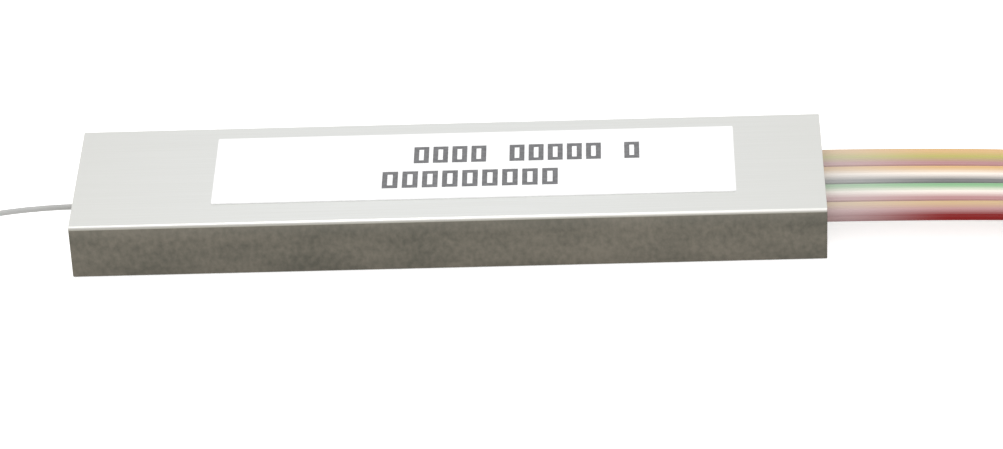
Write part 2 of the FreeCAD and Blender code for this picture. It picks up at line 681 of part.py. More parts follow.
def ribbon_sections(edge, twist_start, twist_end):
    """Points, directions and twists along one edge of a ribbon's path, its start left out."""
    first, last = edge.ParameterRange
    bend = edge.tangentAt(first).getAngle(edge.tangentAt(last))
    steps = max(1, math.ceil(bend / STEP_ANGLE))
    steps = max(steps, math.ceil(math.radians(abs(twist_end - twist_start)) / STEP_ANGLE))
    for step in range(1, steps + 1):
        share = step / steps
        parameter = edge.getParameterByLength(edge.Length * share)
        twist = twist_start + (twist_end - twist_start) * share
        yield edge.valueAt(parameter), edge.tangentAt(parameter), twist


def ribbon_outline(point, direction, twist):
    """The ribbon's rectangular section at a point of its path."""
    level = Vector(0, 0, 1).cross(direction).normalize()
    upright = direction.cross(level).normalize()
    angle = math.radians(twist)
    across = level * math.cos(angle) + upright * math.sin(angle)
    through = upright * math.cos(angle) - level * math.sin(angle)
    half_width = across * (size("ribbon_width") / 2)
    half_thick = through * (size("ribbon_thickness") / 2)
    corners = (
        point - half_width - half_thick,
        point + half_width - half_thick,
        point + half_width + half_thick,
        point - half_width + half_thick,
    )
    return Part.makePolygon([*corners, corners[0]])


def make_ribbon_lead(number, coil):
    """One output ribbon, from the array's ledge, flat through the slot, then twisted on edge."""
    name = f"ribbon_lead_{number + 1}"
    place = number - (size("ribbon_count") - 1) / 2
    pitch, core, thick = value(RIBBON_PITCH), value(CORE), size("ribbon_thickness")
    outer = abs(place) > size("ribbon_count") / 4
    stack_y, exit_y = math.copysign(pitch / 2, place), place * pitch
    layer = (thick + size("stack_gap")) / 2
    stack_z = core - layer if outer else core + layer
    spread = OUTER_RIBBON_SPREAD if outer else INNER_RIBBON_SPREAD
    points = [Vector(value(f"{OUTPUT_STEP} + Sizes.ribbon_start"), stack_y, stack_z)]
    points += [Vector(along, stack_y, stack_z) for along in spread[:-1]]
    points.append(Vector(spread[-1], exit_y, stack_z))
    points += [Vector(along, exit_y, core) for along in (RIBBON_LEVEL, RIBBON_EXIT)]
    twists = [0.0] * len(points)
    for along, middle, spacing, height, twist in RIBBON_BEND_STATIONS:
        points.append(Vector(along, middle + place * spacing, height))
        twists.append(twist)
    path = rounded_route(points, name)
    reached = [0.0]
    for start, end in zip(points, points[1:]):
        reached.append(reached[-1] + (end - start).Length)
    scale = path.Length / reached[-1]

    def twist_at(distance):
        """Twist at a distance along the path, eased between the stations."""
        for near, far, low, high in zip(reached, reached[1:], twists, twists[1:]):
            if distance <= far * scale:
                return low + (high - low) * (distance / scale - near) / (far - near)
        return twists[-1]

    travelled = 0.0
    outlines = [ribbon_outline(points[0], Vector(1, 0, 0), 0.0)]
    for edge in path.Edges:
        before, travelled = travelled, travelled + edge.Length
        for section in ribbon_sections(edge, twist_at(before), twist_at(travelled)):
            outlines.append(ribbon_outline(*section))
    ribbon = Part.makeLoft(outlines, True, True)
    section = size("ribbon_width") * thick
    checked_volume(ribbon, section, path.Length, name)
    new_feature(name, ribbon.cut(coil.Shape))


def make_coil(name, radius, depth, height, along, back):
    """Put-away length as one ring, the outer shape of its bundle of turns."""
    body = new_body(name)
    sketch = new_sketch(
        body,
        "XZ_Plane",
        "CoilSection",
        across=f"{radius} - {depth} / 2",
        up=f"Sizes.tie_thickness + {height} / 2",
    )
    draw_rectangle(sketch, depth, height)
    add_turn(body, sketch, "360")
    body.setExpression("Placement.Base.x", along)
    body.setExpression("Placement.Base.y", back)
    doc.recompute()
    return body


def make_tie(name, radius, depth, height, along, back, width):
    """Band wrapped once round a coil's bundle of turns."""
    body = new_body(name)
    sketch = new_sketch(
        body,
        "XZ_Plane",
        "BandSection",
        across=f"{radius} - {depth} / 2",
        up=f"Sizes.tie_thickness + {height} / 2",
    )
    outer = f"{depth} + 2 * Sizes.tie_thickness", f"{height} + 2 * Sizes.tie_thickness"
    draw_rectangle(sketch, *outer)
    draw_rectangle(sketch, depth, height)
    add_turn(body, sketch, f"{width} / {radius} * 180 / pi")
    body.setExpression("Placement.Base.x", along)
    body.setExpression("Placement.Base.y", back)
    doc.recompute()


def make_free_ends():
    """Fibre and ribbons outside the splitter, with the length that is put away."""
    fibre_coil = make_coil(
        "input_fibre_coil",
        "Sizes.fibre_coil_radius",
        "Sizes.fibre_coil_section",
        "Sizes.fibre_coil_section",
        "Sizes.fibre_coil_along",
        "Sizes.fibre_coil_back",
    )
    ribbon_coil = make_coil(
        "ribbon_coil",
        "Sizes.ribbon_coil_radius",
        "Sizes.ribbon_coil_depth",
        "Sizes.ribbon_coil_height",
        "Sizes.ribbon_coil_along",
        "Sizes.ribbon_coil_back",
    )
    make_tie(
        "input_coil_tie",
        "Sizes.fibre_coil_radius",
        "Sizes.fibre_coil_section",
        "Sizes.fibre_coil_section",
        "Sizes.fibre_coil_along",
        "Sizes.fibre_coil_back",
        "Sizes.fibre_tie_width",
    )
    make_tie(
        "ribbon_coil_tie",
        "Sizes.ribbon_coil_radius",
        "Sizes.ribbon_coil_depth",
        "Sizes.ribbon_coil_height",
        "Sizes.ribbon_coil_along",
        "Sizes.ribbon_coil_back",
        "Sizes.ribbon_tie_width",
    )
    make_fibre_lead(fibre_coil)
    for number in range(round(size("ribbon_count"))):
        make_ribbon_lead(number, ribbon_coil)


# Checks and export


def check_document():
    """Stop if an object failed to compute or a node has no valid shape."""
    for item in doc.Objects:
        if {"Invalid", "Error"} & set(item.State):
            raise RuntimeError(f"{item.Label} is in state {item.State}")
    for node in nodes:
        if node.Shape.isNull() or not node.Shape.isValid() or not node.Shape.Solids:
            raise RuntimeError(f"{node.Label} has no valid shape")


def export_nodes():
    """Write each node to its own STEP file."""
    os.makedirs("parts", exist_ok=True)
    for node in nodes:
        node.Shape.exportStep(f"parts/{node.Label}.step")
        box = node.Shape.BoundBox
        print(
            f"{node.Label}: {len(node.Shape.Solids)} solid(s), {node.Shape.Volume:.4f} mm3,"
            f" x {box.XMin:.3f} {box.XMax:.3f}, y {box.YMin:.3f} {box.YMax:.3f},"
            f" z {box.ZMin:.3f} {box.ZMax:.3f}"
        )


fill_sheet()
make_housing()
make_label()
make_end_plug("input", -1)
make_end_plug("output", 1)
make_end_seal("input", -1)
make_end_seal("output", 1)
make_optics()
make_free_ends()
doc.recompute()
check_document()
export_nodes()
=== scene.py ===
"""Visual model of a bare fibre-optic splitter in its steel tube, with its fibre and ribbons."""

import logging
import math
from collections.abc import Iterable, Iterator
from dataclasses import dataclass, field
from enum import Enum

import bmesh
import bpy
from mathutils import Matrix, Vector


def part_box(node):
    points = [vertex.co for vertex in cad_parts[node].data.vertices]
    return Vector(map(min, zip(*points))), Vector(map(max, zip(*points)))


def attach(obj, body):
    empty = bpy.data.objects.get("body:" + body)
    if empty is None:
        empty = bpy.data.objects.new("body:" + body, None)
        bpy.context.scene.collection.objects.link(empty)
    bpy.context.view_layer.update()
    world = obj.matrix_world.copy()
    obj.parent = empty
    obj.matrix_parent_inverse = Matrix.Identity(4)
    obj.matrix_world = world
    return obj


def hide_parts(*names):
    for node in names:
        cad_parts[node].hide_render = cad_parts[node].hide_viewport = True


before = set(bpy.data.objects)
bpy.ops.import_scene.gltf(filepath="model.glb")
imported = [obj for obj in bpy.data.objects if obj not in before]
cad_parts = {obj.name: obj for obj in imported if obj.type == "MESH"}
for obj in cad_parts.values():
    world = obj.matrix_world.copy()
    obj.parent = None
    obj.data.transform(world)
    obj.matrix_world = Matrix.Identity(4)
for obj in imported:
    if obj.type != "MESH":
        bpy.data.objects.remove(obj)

MM = 0.001
BODY = "root"
log = logging.getLogger("splitter")


class Side(Enum):
    """The two ends of the splitter."""

    INPUT = -1
    OUTPUT = 1


class PrintShape(Enum):
    """Plain shapes that stand on the label in place of its print."""

    BOX = "box"
    GAP = "gap"


class Ink(Enum):
    """Ribbon inks: plain colours, each with the value that the web's colour names give it."""

    MAROON = "#800000"
    ROSY_BROWN = "#bc8f8f"
    TAN = "#d2b48c"
    LINEN = "#faf0e6"
    DARK_SEA_GREEN = "#8fbc8f"
    GRAY = "#808080"
    DARK_KHAKI = "#bdb76b"
    BURLY_WOOD = "#deb887"


# Placing and colour


@dataclass(frozen=True)
class Bench:
    """The part's own axes, in millimetres from the middle of the tube's underside."""

    origin: Vector

    @classmethod
    def under(cls, node: str) -> "Bench":
        """Find the axes from the box of the steel tube.

        Args:
            node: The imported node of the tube.

        Returns:
            Axes whose zero is at the middle of that box's underside.
        """
        low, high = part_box(node)
        return cls(Vector(((low.x + high.x) / 2, (low.y + high.y) / 2, low.z)))

    def at(self, x: float, y: float, z: float) -> Vector:
        """Give the place in metres of a point in millimetres.

        Args:
            x: Along the tube, towards the ribbons.
            y: Across the tube, towards its back.
            z: Up from its underside.

        Returns:
            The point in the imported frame.
        """
        return self.origin + Vector((x, y, z)) * MM


def linear(colour: str) -> tuple[float, float, float, float]:
    """Turn an sRGB colour into the linear values that shaders take.

    Args:
        colour: Six hex digits after a hash sign.

    Returns:
        Linear red, green and blue, and an alpha of one.
    """
    channels = [int(colour[place : place + 2], 16) / 255 for place in (1, 3, 5)]
    red, green, blue = (
        channel / 12.92 if channel <= 0.04045 else ((channel + 0.055) / 1.055) ** 2.4
        for channel in channels
    )
    return red, green, blue, 1.0


def add_node(
    tree: bpy.types.NodeTree,
    kind: str,
    inputs: dict[str | int, object] | None = None,
    **settings: object,
) -> bpy.types.Node:
    """Add one node with its settings, its values and its links.

    Args:
        tree: The node tree to add to.
        kind: The node's type name.
        inputs: A value, or another node's output, for each named or numbered socket.
        **settings: The node's own properties.

    Returns:
        The new node.
    """
    node = tree.nodes.new(kind)
    for name, setting in settings.items():
        setattr(node, name, setting)
    for key, given in (inputs or {}).items():
        if isinstance(given, bpy.types.NodeSocket):
            tree.links.new(given, node.inputs[key])
        else:
            node.inputs[key].default_value = given
    return node


def set_stops(ramp: bpy.types.ColorRamp, stops: Iterable[tuple[float, str]]) -> None:
    """Lay out a ramp's colours.

    Args:
        ramp: The ramp to fill.
        stops: Places from zero to one, each with its sRGB colour.
    """
    for number, (place, colour) in enumerate(stops):
        if number < 2:
            element = ramp.elements[number]
            element.position = place
        else:
            element = ramp.elements.new(place)
        element.color = linear(colour)


# Finishes


@dataclass(frozen=True)
class Finish:
    """A material and how its surface was made."""

    name: str
    slot: str

    def build(self, tree: bpy.types.NodeTree, shader: bpy.types.Node) -> None:
        """Set the shader of this finish."""

    def material(self) -> bpy.types.Material:
        """Make the Blender material, once.

        Returns:
            The material with this finish's name.
        """
        made = bpy.data.materials.get(self.name)
        if made is not None:
            return made
        made = bpy.data.materials.new(self.name)
        made.use_nodes = True
        tree = made.node_tree
        tree.nodes.clear()
        shader = add_node(tree, "ShaderNodeBsdfPrincipled")
        add_node(tree, "ShaderNodeOutputMaterial", {"Surface": shader.outputs["BSDF"]})
        self.build(tree, shader)
        return made

    def grain(
        self, tree: bpy.types.NodeTree, size: tuple[float, float, float], detail: float = 2.0
    ) -> bpy.types.NodeSocket:
        """Add noise whose blotches have a real size.

        Args:
            tree: The material's node tree.
            size: Length of a blotch along each axis, in millimetres.
            detail: Octaves of finer noise inside it.

        Returns:
            The noise's value.
        """
        place = add_node(tree, "ShaderNodeTexCoord")
        scale = tuple(1 / (length * MM) for length in size)
        mapped = add_node(
            tree,
            "ShaderNodeMapping",
            {"Vector": place.outputs["Object"], "Scale": scale},
        )
        noise = add_node(
            tree,
            "ShaderNodeTexNoise",
            {"Vector": mapped.outputs["Vector"], "Scale": 1.0, "Detail": detail},
        )
        return noise.outputs["Fac"]

    def tinted(
        self,
        tree: bpy.types.NodeTree,
        value: bpy.types.NodeSocket,
        stops: Iterable[tuple[float, str]],
    ) -> bpy.types.NodeSocket:
        """Colour a value through a ramp.

        Args:
            tree: The material's node tree.
            value: The value that picks the colour.
            stops: The ramp's places and colours.

        Returns:
            The ramp's colour.
        """
        ramp = add_node(tree, "ShaderNodeValToRGB", {"Fac": value})
        set_stops(ramp.color_ramp, stops)
        return ramp.outputs["Color"]

    def roughened(
        self, tree: bpy.types.NodeTree, value: bpy.types.NodeSocket, low: float, high: float
    ) -> bpy.types.NodeSocket:
        """Spread a value over a range.

        Args:
            tree: The material's node tree.
            value: A value from zero to one.
            low: Result where it is zero.
            high: Result where it is one.

        Returns:
            The spread value.
        """
        spread = add_node(
            tree, "ShaderNodeMapRange", {"Value": value, "To Min": low, "To Max": high}
        )
        return spread.outputs["Result"]

    def raised(
        self, tree: bpy.types.NodeTree, height: bpy.types.NodeSocket, depth: float
    ) -> bpy.types.NodeSocket:
        """Raise the surface by a height.

        Args:
            tree: The material's node tree.
            height: The height from zero to one.
            depth: What one stands for, in millimetres.

        Returns:
            The bent normal.
        """
        bump = add_node(
            tree, "ShaderNodeBump", {"Height": height, "Strength": 1.0, "Distance": depth * MM}
        )
        return bump.outputs["Normal"]


@dataclass(frozen=True)
class BrushedStainless(Finish):
    """Drawn stainless tube with a brushed top; its long sides are rougher and painted darker than
    the top as painted shade, and its rounded long edges carry a painted highlight over painted
    shade.
    """

    top: str = "#eeefed"
    top_line: str = "#e7e8e5"
    # The next six tones run across the rounded long edges from the top down: a slightly darker
    # shoulder, a painted highlight, then painted shade falling into the sides.
    shoulder: str = "#e6e6e1"
    edge: str = "#f6f6f2"
    fading: str = "#dedcd7"
    turning: str = "#b8b6af"
    under_edge_shade: str = "#959289"
    side_shade_start: str = "#77746c"
    # The long sides' two mottled tones are painted darker than the top, as painted shade.
    shaded_skin_dark: str = "#58564e"
    shaded_skin_light: str = "#706b61"
    # Brush lines run the tube's length, drawn wider apart than real ones so that they show.
    brush_lines: tuple[float, float, float] = (9.0, 0.12, 0.12)
    # The mill skin is blotched at about half a millimetre, and clouded at several.
    blotch: tuple[float, float, float] = (0.4, 0.4, 0.5)
    cloud: tuple[float, float, float] = (7.0, 7.0, 2.5)
    cloud_share: float = 0.5
    polished: float = 0.36
    dulled: float = 0.52
    scratch: float = 0.004

    def build(self, tree: bpy.types.NodeTree, shader: bpy.types.Node) -> None:
        """Brush the faces that look up, paint the mottled sides darker as painted shade, and paint
        a highlight and shade across the rounded edges.
        """
        brushed = self.grain(tree, self.brush_lines, 3.0)
        blotches = self.grain(tree, self.blotch, 5.0)
        clouds = self.grain(tree, self.cloud, 2.0)
        both = add_node(
            tree,
            "ShaderNodeMix",
            {0: self.cloud_share, 2: blotches, 3: clouds},
            data_type="FLOAT",
        )
        # Mottled long sides, painted dark as painted shade.
        shaded_skin = self.tinted(
            tree, both.outputs[0], ((0.36, self.shaded_skin_dark), (0.64, self.shaded_skin_light))
        )
        bright = self.tinted(tree, brushed, ((0.2, self.top_line), (0.8, self.top)))
        facing = add_node(tree, "ShaderNodeTexCoord")
        upward = add_node(
            tree, "ShaderNodeSeparateXYZ", {"Vector": facing.outputs["Normal"]}
        ).outputs["Z"]
        # Painted highlight and painted shade across the rounded long edges, picked by how far the
        # surface faces up.
        painted_edge_light = self.tinted(
            tree,
            upward,
            (
                (0.0, self.side_shade_start),
                (0.16, self.under_edge_shade),
                (0.43, self.turning),
                (0.66, self.fading),
                (0.84, self.edge),
                (0.97, self.shoulder),
            ),
        )
        on_top = add_node(
            tree, "ShaderNodeMapRange", {"Value": upward, "From Min": 0.96, "From Max": 0.999}
        )
        on_side = add_node(
            tree, "ShaderNodeMapRange", {"Value": upward, "From Min": 0.14, "From Max": 0.02}
        )
        lit = add_node(
            tree,
            "ShaderNodeMix",
            {0: on_top.outputs["Result"], 6: painted_edge_light, 7: bright},
            data_type="RGBA",
        )
        colour = add_node(
            tree,
            "ShaderNodeMix",
            {0: on_side.outputs["Result"], 6: lit.outputs[2], 7: shaded_skin},
            data_type="RGBA",
        )
        rough = add_node(
            tree,
            "ShaderNodeMapRange",
            {
                "Value": on_side.outputs["Result"],
                "To Min": self.polished,
                "To Max": self.dulled,
            },
        )
        tree.links.new(colour.outputs[2], shader.inputs["Base Color"])
        tree.links.new(rough.outputs["Result"], shader.inputs["Roughness"])
        tree.links.new(self.raised(tree, brushed, self.scratch), shader.inputs["Normal"])
        shader.inputs["Metallic"].default_value = 1.0


@dataclass(frozen=True)
class MattePaper(Finish):
    """Coated paper: white and even, with a faint felt of fibres under the coating."""

    colour: str = "#fdfdfd"
    hollow: str = "#fafafa"

    def build(self, tree: bpy.types.NodeTree, shader: bpy.types.Node) -> None:
        """Make the sheet white with a faint felt."""
        felt = self.grain(tree, (0.25, 0.12, 0.12), 4.0)
        tone = self.tinted(tree, felt, ((0.3, self.hollow), (0.7, self.colour)))
        tree.links.new(tone, shader.inputs["Base Color"])
        tree.links.new(self.roughened(tree, felt, 0.5, 0.62), shader.inputs["Roughness"])
        tree.links.new(self.raised(tree, felt, 0.003), shader.inputs["Normal"])


@dataclass(frozen=True)
class TransferInk(Finish):
    """Thermal-transfer print: dark grey resin that lies a little unevenly on the paper."""

    colour: str = "#626264"
    thin: str = "#7a7a7c"

    def build(self, tree: bpy.types.NodeTree, shader: bpy.types.Node) -> None:
        """Make the ink grey and slightly patchy."""
        patches = self.grain(tree, (0.3, 0.3, 0.3))
        tone = self.tinted(tree, patches, ((0.3, self.colour), (0.75, self.thin)))
        tree.links.new(tone, shader.inputs["Base Color"])
        tree.links.new(self.roughened(tree, patches, 0.4, 0.55), shader.inputs["Roughness"])


@dataclass(frozen=True)
class SoftMoulding(Finish):
    """Moulded or poured soft plastic: one colour, a fine pebbled skin and a dull sheen."""

    dark: str = "#26272a"
    light: str = "#333438"
    roughness: float = 0.5
    unevenness: float = 0.08
    pebble: float = 0.15
    relief: float = 0.01
    clear: float = 0.0

    def build(self, tree: bpy.types.NodeTree, shader: bpy.types.Node) -> None:
        """Make the skin pebbled in two near tones."""
        pebbles = self.grain(tree, (self.pebble, self.pebble, self.pebble), 3.0)
        tone = self.tinted(tree, pebbles, ((0.3, self.dark), (0.7, self.light)))
        tree.links.new(tone, shader.inputs["Base Color"])
        least, most = self.roughness - self.unevenness, self.roughness + self.unevenness
        rough = self.roughened(tree, pebbles, least, most)
        tree.links.new(rough, shader.inputs["Roughness"])
        tree.links.new(self.raised(tree, pebbles, self.relief), shader.inputs["Normal"])
        shader.inputs["Transmission Weight"].default_value = self.clear


@dataclass(frozen=True)
class WovenTape(Finish):
    """Woven nylon tape with a napped face: dull black, its threads crossing, a soft sheen."""

    dark: str = "#17181a"
    light: str = "#43444a"
    # Threads are about 0.1 mm apart, drawn twice as coarse to show.
    thread: float = 0.2
    float_length: float = 5.0
    relief: float = 0.05
    nap: float = 0.2

    def build(self, tree: bpy.types.NodeTree, shader: bpy.types.Node) -> None:
        """Cross warp and weft, and let the nap catch light."""
        run = self.float_length * self.thread
        warp = self.grain(tree, (self.thread, run, self.thread), 1.0)
        weft = self.grain(tree, (run, self.thread, run), 1.0)
        crossed = add_node(tree, "ShaderNodeMath", {0: warp, 1: weft}, operation="ADD")
        cloth = self.roughened(tree, crossed.outputs[0], -0.35, 0.65)
        tone = self.tinted(tree, cloth, ((0.35, self.dark), (0.65, self.light)))
        tree.links.new(tone, shader.inputs["Base Color"])
        tree.links.new(self.roughened(tree, cloth, 0.75, 0.95), shader.inputs["Roughness"])
        tree.links.new(self.raised(tree, cloth, self.relief), shader.inputs["Normal"])
        shader.inputs["Sheen Weight"].default_value = self.nap


@dataclass(frozen=True)
class PolishedGlass(Finish):
    """Lapped optical glass: clear, with the faint grey of its ground sides."""

    tint: str = "#e9f2f2"
    ground_tint: str = "#d5e0e2"
    ior: float = 1.46
    clear: float = 0.85

    def build(self, tree: bpy.types.NodeTree, shader: bpy.types.Node) -> None:
        """Make the glass clear with ground sides."""
        ground = self.grain(tree, (0.08, 0.08, 0.08), 2.0)
        tone = self.tinted(tree, ground, ((0.3, self.ground_tint), (0.7, self.tint)))
        tree.links.new(tone, shader.inputs["Base Color"])
        tree.links.new(self.roughened(tree, ground, 0.04, 0.2), shader.inputs["Roughness"])
        shader.inputs["IOR"].default_value = self.ior
        shader.inputs["Transmission Weight"].default_value = self.clear


@dataclass(frozen=True)
class FibreJacket(Finish):
    """Extruded polyester buffer: light grey, satin, with faint draw lines along it."""

    colour: str = "#babab8"
    draw_line: str = "#aeaeac"

    def build(self, tree: bpy.types.NodeTree, shader: bpy.types.Node) -> None:
        """Make the buffer satin grey."""
        drawn = self.grain(tree, (1.2, 0.1, 0.1))
        tone = self.tinted(tree, drawn, ((0.25, self.draw_line), (0.75, self.colour)))
        tree.links.new(tone, shader.inputs["Base Color"])
        tree.links.new(self.roughened(tree, drawn, 0.28, 0.42), shader.inputs["Roughness"])


@dataclass(frozen=True)
class RibbonCoating(Finish):
    """Eight inked fibres under a clear acrylate skin, milky where sealant has crept along them."""

    inks: tuple[Ink, ...] = ()
    sealant: str = "#d3d3d3"
    veil: float = 0.4
    veil_start: float = 0.0
    veil_end: float = 0.0
    shine: float = 0.22
    skin: float = 0.04
    skin_roughness: float = 0.2

    def build(self, tree: bpy.types.NodeTree, shader: bpy.types.Node) -> None:
        """Stripe the ribbon across its width, duller over its first millimetres."""
        across = add_node(tree, "ShaderNodeUVMap", uv_map="across")
        place = add_node(tree, "ShaderNodeSeparateXYZ", {"Vector": across.outputs["UV"]})
        clear = self.tinted(
            tree,
            place.outputs["X"],
            [((number + 0.5) / len(self.inks), ink.value) for number, ink in enumerate(self.inks)],
        )
        crept = add_node(
            tree,
            "ShaderNodeMapRange",
            {
                "Value": place.outputs["Y"],
                "From Min": self.veil_start,
                "From Max": self.veil_end,
                "To Min": self.veil,
                "To Max": 0.0,
            },
            interpolation_type="SMOOTHSTEP",
        )
        colour = add_node(
            tree,
            "ShaderNodeMix",
            {0: crept.outputs["Result"], 6: clear, 7: linear(self.sealant)},
            data_type="RGBA",
        )
        runs = self.grain(tree, (2.5, 0.12, 0.12))
        tree.links.new(colour.outputs[2], shader.inputs["Base Color"])
        tree.links.new(self.roughened(tree, runs, 0.3, 0.45), shader.inputs["Roughness"])
        shader.inputs["Specular IOR Level"].default_value = self.shine
        shader.inputs["Coat Weight"].default_value = self.skin
        shader.inputs["Coat Roughness"].default_value = self.skin_roughness


STAINLESS = BrushedStainless("brushed_stainless", "case_steel")
PAPER = MattePaper("coated_paper", "label_paper")
INK = TransferInk("transfer_ink", "label_paper")
PLUG_RUBBER = SoftMoulding("moulded_silicone_rubber", "plug_rubber")
POTTING = SoftMoulding(
    "poured_epoxy", "potting", dark="#b9b6ac", light="#cfccc3", roughness=0.34, pebble=0.4
)
GEL = SoftMoulding(
    "silicone_gel", "silicone", dark="#dfe3e4", light="#f0f2f2", roughness=0.3, clear=0.3
)
ADHESIVE = SoftMoulding(
    "cured_adhesive", "cured_adhesive", dark="#d8b56a", light="#e8cf92", roughness=0.2, clear=0.4
)
GLASS = PolishedGlass("lapped_borosilicate", "optical_glass", ior=1.47)
SILICA = PolishedGlass("fused_silica", "chip_silica", tint="#dfeaf2", ior=1.46)
JACKET = FibreJacket("polyester_buffer", "fibre_jacket")
TIE_TAPE = WovenTape("woven_nylon_tape", "tie_band")


# Modelling help


def deselect_all() -> None:
    """Leave object mode clear, with nothing selected."""
    if bpy.context.object is not None and bpy.context.object.mode != "OBJECT":
        bpy.ops.object.mode_set(mode="OBJECT")
    bpy.ops.object.select_all(action="DESELECT")


def choose(piece: bpy.types.Object) -> None:
    """Select one piece alone and make it active."""
    deselect_all()
    piece.select_set(True)
    bpy.context.view_layer.objects.active = piece


def settle(piece: bpy.types.Object, name: str, finish: Finish) -> bpy.types.Object:
    """Name a finished piece, dress it and set it on the body.

    Args:
        piece: The modelled object.
        name: The piece's name.
        finish: What it is made of.

    Returns:
        The same object.
    """
    piece.name = piece.data.name = name
    piece.data.materials.clear()
    piece.data.materials.append(finish.material())
    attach(piece, BODY)
    log.info("%s: %s", name, finish.name)
    return piece


def apply_place(piece: bpy.types.Object) -> None:
    """Put a piece's place, turn and size into its mesh."""
    choose(piece)
    bpy.ops.object.transform_apply(location=True, rotation=True, scale=True)


def apply_modifiers(piece: bpy.types.Object) -> None:
    """Apply a piece's modifiers in their order."""
    choose(piece)
    for modifier in list(piece.modifiers):
        bpy.ops.object.modifier_apply(modifier=modifier.name)


def select_faces(piece: bpy.types.Object, facing: Vector, least: float = 0.9) -> None:
    """Select the faces that look one way, in edit mode.

    Args:
        piece: The object in edit mode.
        facing: The direction.
        least: Smallest agreement of a face's normal with it.
    """
    mesh = bmesh.from_edit_mesh(piece.data)
    for face in mesh.faces:
        face.select_set(face.normal.dot(facing) > least)
    mesh.select_flush_mode()
    bmesh.update_edit_mesh(piece.data)


# Pieces


@dataclass
class SteelCase:
    """Thin drawn tube, open at both ends, that holds the optics."""

    bench: Bench
    length: float = 50.0
    width: float = 12.0
    height: float = 4.0
    wall: float = 0.4
    corner: float = 0.25
    corner_steps: int = 8
    burr: float = 0.05

    def build(self) -> bpy.types.Object:
        """Model the tube from a block: opened at its ends, given its wall, then rounded outside.

        Returns:
            The finished tube.
        """
        deselect_all()
        bpy.ops.mesh.primitive_cube_add(
            size=1.0,
            location=self.bench.at(0, 0, self.height / 2),
            scale=Vector((self.length, self.width, self.height)) * MM,
        )
        tube = bpy.context.object
        apply_place(tube)
        bpy.ops.object.mode_set(mode="EDIT")
        bpy.ops.mesh.select_mode(type="FACE")
        for side in Side:
            select_faces(tube, Vector((side.value, 0, 0)))
            bpy.ops.mesh.delete(type="FACE")
        bpy.ops.object.mode_set(mode="OBJECT")
        wall = tube.modifiers.new("wall", "SOLIDIFY")
        wall.thickness, wall.offset, wall.use_even_offset = self.wall * MM, -1.0, True
        apply_modifiers(tube)
        bpy.ops.object.mode_set(mode="EDIT")
        bpy.ops.mesh.select_mode(type="EDGE")
        self.select_outer_edges(tube)
        bpy.ops.mesh.bevel(offset=self.corner * MM, segments=self.corner_steps, profile=0.5)
        bpy.ops.object.mode_set(mode="OBJECT")
        ends = tube.modifiers.new("deburred_ends", "BEVEL")
        ends.width, ends.segments = self.burr * MM, 2
        ends.limit_method, ends.angle_limit = "ANGLE", math.radians(60)
        apply_modifiers(tube)
        bpy.ops.object.shade_smooth_by_angle(angle=math.radians(40))
        settle(tube, "steel_case", STAINLESS)
        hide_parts("housing_tube")
        return tube

    def select_outer_edges(self, tube: bpy.types.Object) -> None:
        """Select the four outer edges that run the tube's length."""
        axis = self.bench.at(0, 0, self.height / 2)
        reach = Vector((0, self.width - self.wall, self.height - self.wall)) * MM / 2
        mesh = bmesh.from_edit_mesh(tube.data)
        for edge in mesh.edges:
            start, end = (vertex.co - axis for vertex in edge.verts)
            runs_along = abs((end - start).normalized().x) > 0.9
            edge.select_set(runs_along and abs(start.y) > reach.y and abs(start.z) > reach.z)
        mesh.select_flush_mode()
        bmesh.update_edit_mesh(tube.data)


